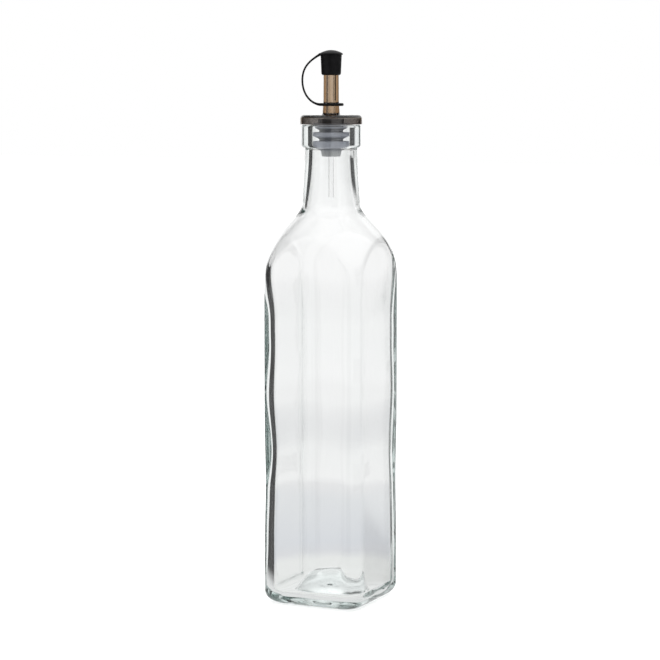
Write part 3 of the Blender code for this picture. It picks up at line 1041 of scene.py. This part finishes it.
@dataclass(frozen=True)
class Cap:
    """The black cap, its strap and the strap's ring: one rubber moulding."""

    mouth_radius: float = 5.2 * MM
    top_radius: float = 5.6 * MM
    bore: float = 4.3 * MM
    mouth: float = 281.3 * MM
    mouth_rounding: float = 1.1 * MM
    rim_radius: float = 6.25 * MM
    rim: float = 292.0 * MM
    rim_thickness: float = 0.7 * MM
    top: float = 294.5 * MM
    bore_top: float = 290.9 * MM
    strap_width: float = 2.0 * MM
    strap_thickness: float = 1.0 * MM
    strap_reach: float = 15.2 * MM
    strap_reach_height: float = 278.6 * MM
    strap_edge: float = 0.3 * MM
    strap_slope: float = math.radians(31)
    strap_anchor: float = 0.6 * MM
    leaving_pull: float = 6.6 * MM
    upper_pull: float = 7.2 * MM
    lower_pull: float = 6.9 * MM
    arriving_pull: float = 5.2 * MM
    arriving_drop: float = 0.6 * MM
    ring_radius: float = 6.6 * MM
    ring_bore: float = 4.4 * MM
    ring_height: float = 265.9 * MM
    ring_thickness: float = 1.5 * MM
    ring_edge: float = 0.55 * MM
    turn: float = math.radians(24.9)

    def _sleeve_outline(self) -> list[Point]:
        """The sleeve over the spout under its domed disc."""
        base = self.rim + self.rim_thickness
        dome = self.top - base
        outline = [(0.0, self.bore_top), (self.bore, self.bore_top), (self.bore, self.mouth)]
        rounding = (self.mouth_radius - self.mouth_rounding, self.mouth + self.mouth_rounding)
        outline += arc(rounding, self.mouth_rounding, -75, 0, 8)
        edge = self.rim_thickness / 2
        outline += [(self.top_radius, self.rim - 0.1 * MM)]
        outline += arc((self.rim_radius - edge, self.rim + edge), edge, -90, 50, 8)
        for share in spaced(0.93, 0.0, 16):
            outline.append((self.rim_radius * share, base + dome * (1 - share**2)))
        return outline

    def _ring_outline(self) -> list[Point]:
        """The strap's ring."""
        low, high = self.ring_height - self.ring_thickness / 2, self.ring_height + self.ring_thickness / 2
        inner = self.ring_radius - self.ring_edge
        outline = [(self.ring_bore, low)]
        outline += arc((inner, low + self.ring_edge), self.ring_edge, -90, 0, 6)
        outline += arc((inner, high - self.ring_edge), self.ring_edge, 0, 90, 6)
        outline += [(self.ring_bore, high), (self.ring_bore, low)]
        return outline

    def _strap_path(self, name: str) -> bpy.types.Object:
        """The strap's middle line as a curve, from inside the disc to inside the ring."""
        leaving = Vector((-math.cos(self.strap_slope), 0, -math.sin(self.strap_slope))) * self.leaving_pull
        arriving = Vector((-self.arriving_pull, 0, self.arriving_drop))
        leaves = Vector((-self.rim_radius + self.strap_anchor, 0, self.rim + self.rim_thickness / 2))
        furthest = Vector((-self.strap_reach, 0, self.strap_reach_height))
        arrives = Vector((-self.ring_radius + self.strap_anchor, 0, self.ring_height))
        curve = bpy.data.curves.new(name, "CURVE")
        curve.dimensions = "3D"
        spline = curve.splines.new("BEZIER")
        spline.bezier_points.add(2)
        spline.resolution_u = 24
        knots = (
            (leaves, -leaving, leaving),
            (furthest, Vector((0, 0, self.upper_pull)), Vector((0, 0, -self.lower_pull))),
            (arrives, arriving, -arriving),
        )
        for point, (place, before, after) in zip(spline.bezier_points, knots):
            point.handle_left_type = point.handle_right_type = "FREE"
            point.co = place
            point.handle_left = place + before
            point.handle_right = place + after
        path = bpy.data.objects.new(name, curve)
        bpy.context.scene.collection.objects.link(path)
        return path

    def build(self, loft: LoftTree, strap: StrapTree, finish: bpy.types.Material) -> bpy.types.Object:
        """Grows sleeve, strap and ring, joins them and turns them to the strap's side."""
        sleeve = loft.skin("cap_and_strap", round_stations(self._sleeve_outline()), finish, 112)
        ring = loft.skin("strap_ring", round_stations(self._ring_outline()), finish, 96)
        values = {
            "Width": self.strap_width,
            "Thickness": self.strap_thickness,
            "Edge radius": self.strap_edge,
            "Flare": 0.5,
            "Points": 90,
            "Finish": finish,
        }
        band = strap.grow(self._strap_path("strap"), "strap", values)
        return join([sleeve, ring, band], self.turn)


def join(pieces: Sequence[bpy.types.Object], turn: float) -> bpy.types.Object:
    """Puts several meshes into the first one's object, turned about the upright axis.

    Args:
        pieces: The objects; all but the first are removed.
        turn: The angle, in radians.

    Returns:
        The first object.
    """
    first = pieces[0]
    finish_index = first.data.polygons[0].material_index
    sheet = bmesh.new()
    for piece in pieces:
        sheet.from_mesh(piece.data)
    for face in sheet.faces:
        face.material_index = finish_index
    bmesh.ops.rotate(sheet, verts=sheet.verts, cent=(0, 0, 0), matrix=Matrix.Rotation(turn, 3, "Z"))
    sheet.to_mesh(first.data)
    sheet.free()
    for piece in pieces[1:]:
        bpy.data.objects.remove(piece)
    return first


# The studio


@dataclass(frozen=True)
class Panel:
    """A dark or bright panel of the studio, as directions seen from the object.

    Directions are camera azimuths: a camera at that azimuth looks straight at the panel's middle.

    Attributes:
        start: Its first edge, in degrees.
        end: Its second edge.
        light: How bright it is, as a share of the surroundings.
        nearest: How far from the object it begins on the floor.
        furthest: How far from the object it ends on the floor.
        top: How high it reaches, as the sine of an elevation.
        softness: How wide its soft edges are, in degrees.
    """

    start: float
    end: float
    light: float
    nearest: float = 0.06
    furthest: float = 1000.0
    top: float = 0.14
    softness: float = 5.0


@dataclass(frozen=True)
class Studio:
    """Camera, floor and surroundings.

    The floor's painted shades, which only glass sees, run outwards by r / (r + floor_fold), where r is the
    distance from the object.
    """

    azimuth: float = 24.895
    distance: float = 1200.0 * MM
    eye_height: float = 278.76 * MM
    pitch: float = 6.315
    lens: float = 123.2
    sensor: float = 36.0
    shift: float = -0.00174
    floor_half: float = 6.0
    panels: tuple[Panel, ...] = field(
        default=(
            Panel(8.0, 55.0, 1.3),
            Panel(57.0, 120.0, 0.05, top=0.5),
            Panel(-70.0, -30.0, 0.35, nearest=0.04, furthest=0.2),
            Panel(-78.0, -50.0, 0.12, nearest=0.4),
            Panel(-115.0, -50.0, 0.2, nearest=3.3),
            Panel(-54.0, -4.0, 0.08, nearest=3.3),
            Panel(-5.0, 5.0, 0.2, nearest=0.25, furthest=2.5),
            Panel(172.0, 205.0, 0.1, nearest=0.1),
        )
    )
    mirrored_light: float = 0.88
    # Painted shade: how bright the floor glows for reflected light.
    mirrored_floor: float = 0.8
    behind_light: float = 1.02
    overhead_light: float = 1.35
    overhead_from: float = 0.2
    overhead_full: float = 0.9
    floor_colour: Colour = (0.9, 0.9, 0.9)
    floor_lift: float = 0.22
    floor_fold: float = 0.5
    # Painted shadow: the glowing shades that glass sees on the floor, darkest about 0.12 to 0.3 m from the
    # object.
    floor_shades: tuple[tuple[float, Colour], ...] = (
        (0.167, (0.84, 0.85, 0.84)),
        (0.20, (0.70, 0.71, 0.74)),
        (0.237, (0.69, 0.71, 0.75)),
        (0.365, (0.765, 0.78, 0.80)),
        (0.459, (0.83, 0.83, 0.84)),
        (0.541, (0.95, 0.95, 0.95)),
        (0.641, (0.95, 0.95, 0.95)),
        (0.725, (0.99, 0.99, 0.99)),
        (1.0, WHITE),
    )
    bounces: int = 32
    transparent_bounces: int = 16

    def camera(self) -> None:
        """Puts the camera at the photograph's place."""
        data = bpy.data.cameras.new("camera")
        data.sensor_width = self.sensor
        data.lens = self.lens
        data.shift_x = self.shift
        data.clip_start = 0.05
        camera = bpy.data.objects.new("camera", data)
        turn = math.radians(self.azimuth)
        camera.location = (
            self.distance * math.sin(turn),
            -self.distance * math.cos(turn),
            self.eye_height,
        )
        camera.rotation_euler = (math.radians(90.0 - self.pitch), 0.0, turn)
        bpy.context.scene.collection.objects.link(camera)
        bpy.context.scene.camera = camera

    def _share(self, graph: Graph, x: Term, y: Term, distance: Number, z: Number) -> Term:
        """How bright the panels make each direction, as a share of the surroundings.

        Args:
            graph: The surface's or the world's graph.
            x: The direction's x, of any length.
            y: Its y.
            distance: How far from the object it meets the floor.
            z: Its rise, 0 on the floor.

        Returns:
            1 between the panels, and each panel's light inside it.
        """
        length = graph.math("MAXIMUM", graph.length(x, y), 1e-5)
        share: Number = 1.0
        for panel in self.panels:
            middle = math.radians((panel.start + panel.end) / 2)
            half_width = (panel.end - panel.start) / 2
            towards = (y * math.cos(middle) - x * math.sin(middle)) / length
            outer = math.cos(math.radians(half_width + panel.softness / 2))
            inner = math.cos(math.radians(half_width - panel.softness / 2))
            begun = graph.smooth(distance, panel.nearest, 2.0 * panel.nearest)
            ended = graph.smooth(distance, 2.0 * panel.furthest, panel.furthest)
            topped = graph.smooth(z, 2.0 * panel.top, panel.top)
            cover = graph.smooth(towards, outer, inner) * begun * ended * topped
            share = share + (panel.light - share) * cover
        return share

    def _mirrored(self, graph: Graph) -> Term:
        """1 for light that some face has reflected, 0 for light that has only passed through."""
        bounces = graph.term("ShaderNodeLightPath", None, None, "Glossy Depth")
        return graph.math("MINIMUM", bounces, 1.0)

    def surroundings(self) -> None:
        """Makes a white studio: bright above and around, with panels low at the sides."""
        world = bpy.data.worlds.new("studio")
        world.use_nodes = True
        graph = Graph(world.node_tree)
        x, y, z = graph.split(coordinates(graph, Coordinates.DIRECTION))
        mirrored = self._mirrored(graph)
        share = 1.0 + (self._share(graph, x, y, 100.0, z) - 1.0) * mirrored
        base = self.behind_light + (self.mirrored_light - self.behind_light) * mirrored
        overhead = graph.smooth(z, self.overhead_from, self.overhead_full)
        seen = (base + (self.overhead_light - base) * overhead) * share
        direct = graph.node("ShaderNodeLightPath").outputs["Is Camera Ray"]
        shown = graph.blend(direct, graph.scaled(WHITE, seen), WHITE)
        light = graph.out("ShaderNodeBackground", {"Color": shown, "Strength": 1.0})
        graph.node("ShaderNodeOutputWorld", None, {"Surface": light})
        bpy.context.scene.world = world

    def floor(self) -> None:
        """Lays the pale floor, which the camera sees plain and glass sees glowing, with a painted shadow round
        the object and painted dark panels for reflected light.
        """
        half = self.floor_half
        corners = [(-half, -half, 0), (half, -half, 0), (half, half, 0), (-half, half, 0)]
        mesh = bpy.data.meshes.new("floor")
        mesh.from_pydata(corners, [], [(0, 1, 2, 3)])
        material, graph = new_surface("pale_floor")
        x, y, _ = graph.split(coordinates(graph))
        distance = graph.length(x, y)
        place = distance / (distance + self.floor_fold)
        # Painted shadow: glass sees the floor glow with this ramp, darker near the object.
        shade = graph.out("ShaderNodeValToRGB", {0: place}, {"stops": self.floor_shades})
        panels = self._share(graph, x, y, distance, 0.0)
        # Painted shade: reflected light sees the floor glow dimmer, with the dark panels painted on it.
        reflected = graph.scaled(WHITE, self.mirrored_floor * panels)
        seen = graph.blend(self._mirrored(graph), shade, reflected)
        painted_floor_glow = graph.out("ShaderNodeEmission", {"Color": seen, "Strength": 1.0})
        lit = graph.out("ShaderNodeBsdfDiffuse", {"Color": self.floor_colour})
        lift = graph.out("ShaderNodeEmission", {"Color": WHITE, "Strength": self.floor_lift})
        plain = graph.out("ShaderNodeAddShader", {0: lit, 1: lift})
        direct = graph.node("ShaderNodeLightPath").outputs["Is Camera Ray"]
        shown = graph.out("ShaderNodeMixShader", {0: direct, 1: painted_floor_glow, 2: plain})
        graph.node("ShaderNodeOutputMaterial", None, {"Surface": shown})
        mesh.materials.append(material)
        floor = bpy.data.objects.new("floor", mesh)
        bpy.context.scene.collection.objects.link(floor)

    def set_up(self) -> None:
        """Places everything round the object, and sets how light and colour are worked out."""
        self.camera()
        self.surroundings()
        self.floor()
        scene = bpy.context.scene
        scene.view_settings.view_transform = "Standard"
        for kind in ("max_bounces", "transmission_bounces", "glossy_bounces"):
            setattr(scene.cycles, kind, self.bounces)
        scene.cycles.transparent_max_bounces = self.transparent_bounces


def main() -> None:
    """Builds the cruet piece by piece round the frame."""
    logging.basicConfig(level=logging.INFO, format="%(name)s: %(message)s")
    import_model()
    loft, repeat, strap = LoftTree(), RepeatTree(), StrapTree()
    glass = ClearFinish("clear_glass", ior=1.52, loss=(9.0, 7.0, 7.4), wave=0.02 * MM)
    smoke = ClearFinish(
        "smoked_plastic",
        ior=1.5,
        loss=(170.0, 240.0, 330.0),
        roughness=0.02,
        # Painted shade on the spout's faces that turn away from the eye.
        rim=0.4,
        # Painted shade, darker and bluer, on the flange and stem below this height.
        painted_shade_colour=(0.47, 0.50, 0.56),
        painted_shade_below=261.0 * MM,
    )
    clear = ClearFinish("clear_plastic", ior=1.22, loss=(20.0, 19.0, 18.0), roughness=0.06)
    milky = MilkyFinish(
        "frosted_plastic",
        shade=(0.24, 0.25, 0.28),
        glow=(0.33, 0.34, 0.37),
        # Painted light at the stopper's low end.
        painted_low_light=(1.0, 1.0, 0.95),
        low=240.0 * MM,
        high=244.5 * MM,
        # Painted light on the fins' outer parts.
        rim=1.8,
        painted_rim_light_from=7.2 * MM,
        passed=0.5,
        roughness=0.4,
    )
    rubber = RubberFinish("black_rubber", (0.0035, 0.0035, 0.004), (0.007, 0.007, 0.0075), 0.45)
    dress(Bottle().build(loft, glass.material()), "bottle")
    dress(Stopper().build(loft, repeat, milky.material()), "stopper")
    dress(Spout().build(loft, smoke.material()), "spout")
    dress(AirTube().build(loft, clear.material()), "air_tube")
    dress(Cap().build(loft, strap, rubber.material()), "cap")
    Studio().set_up()


if __name__ == "__main__":
    main()
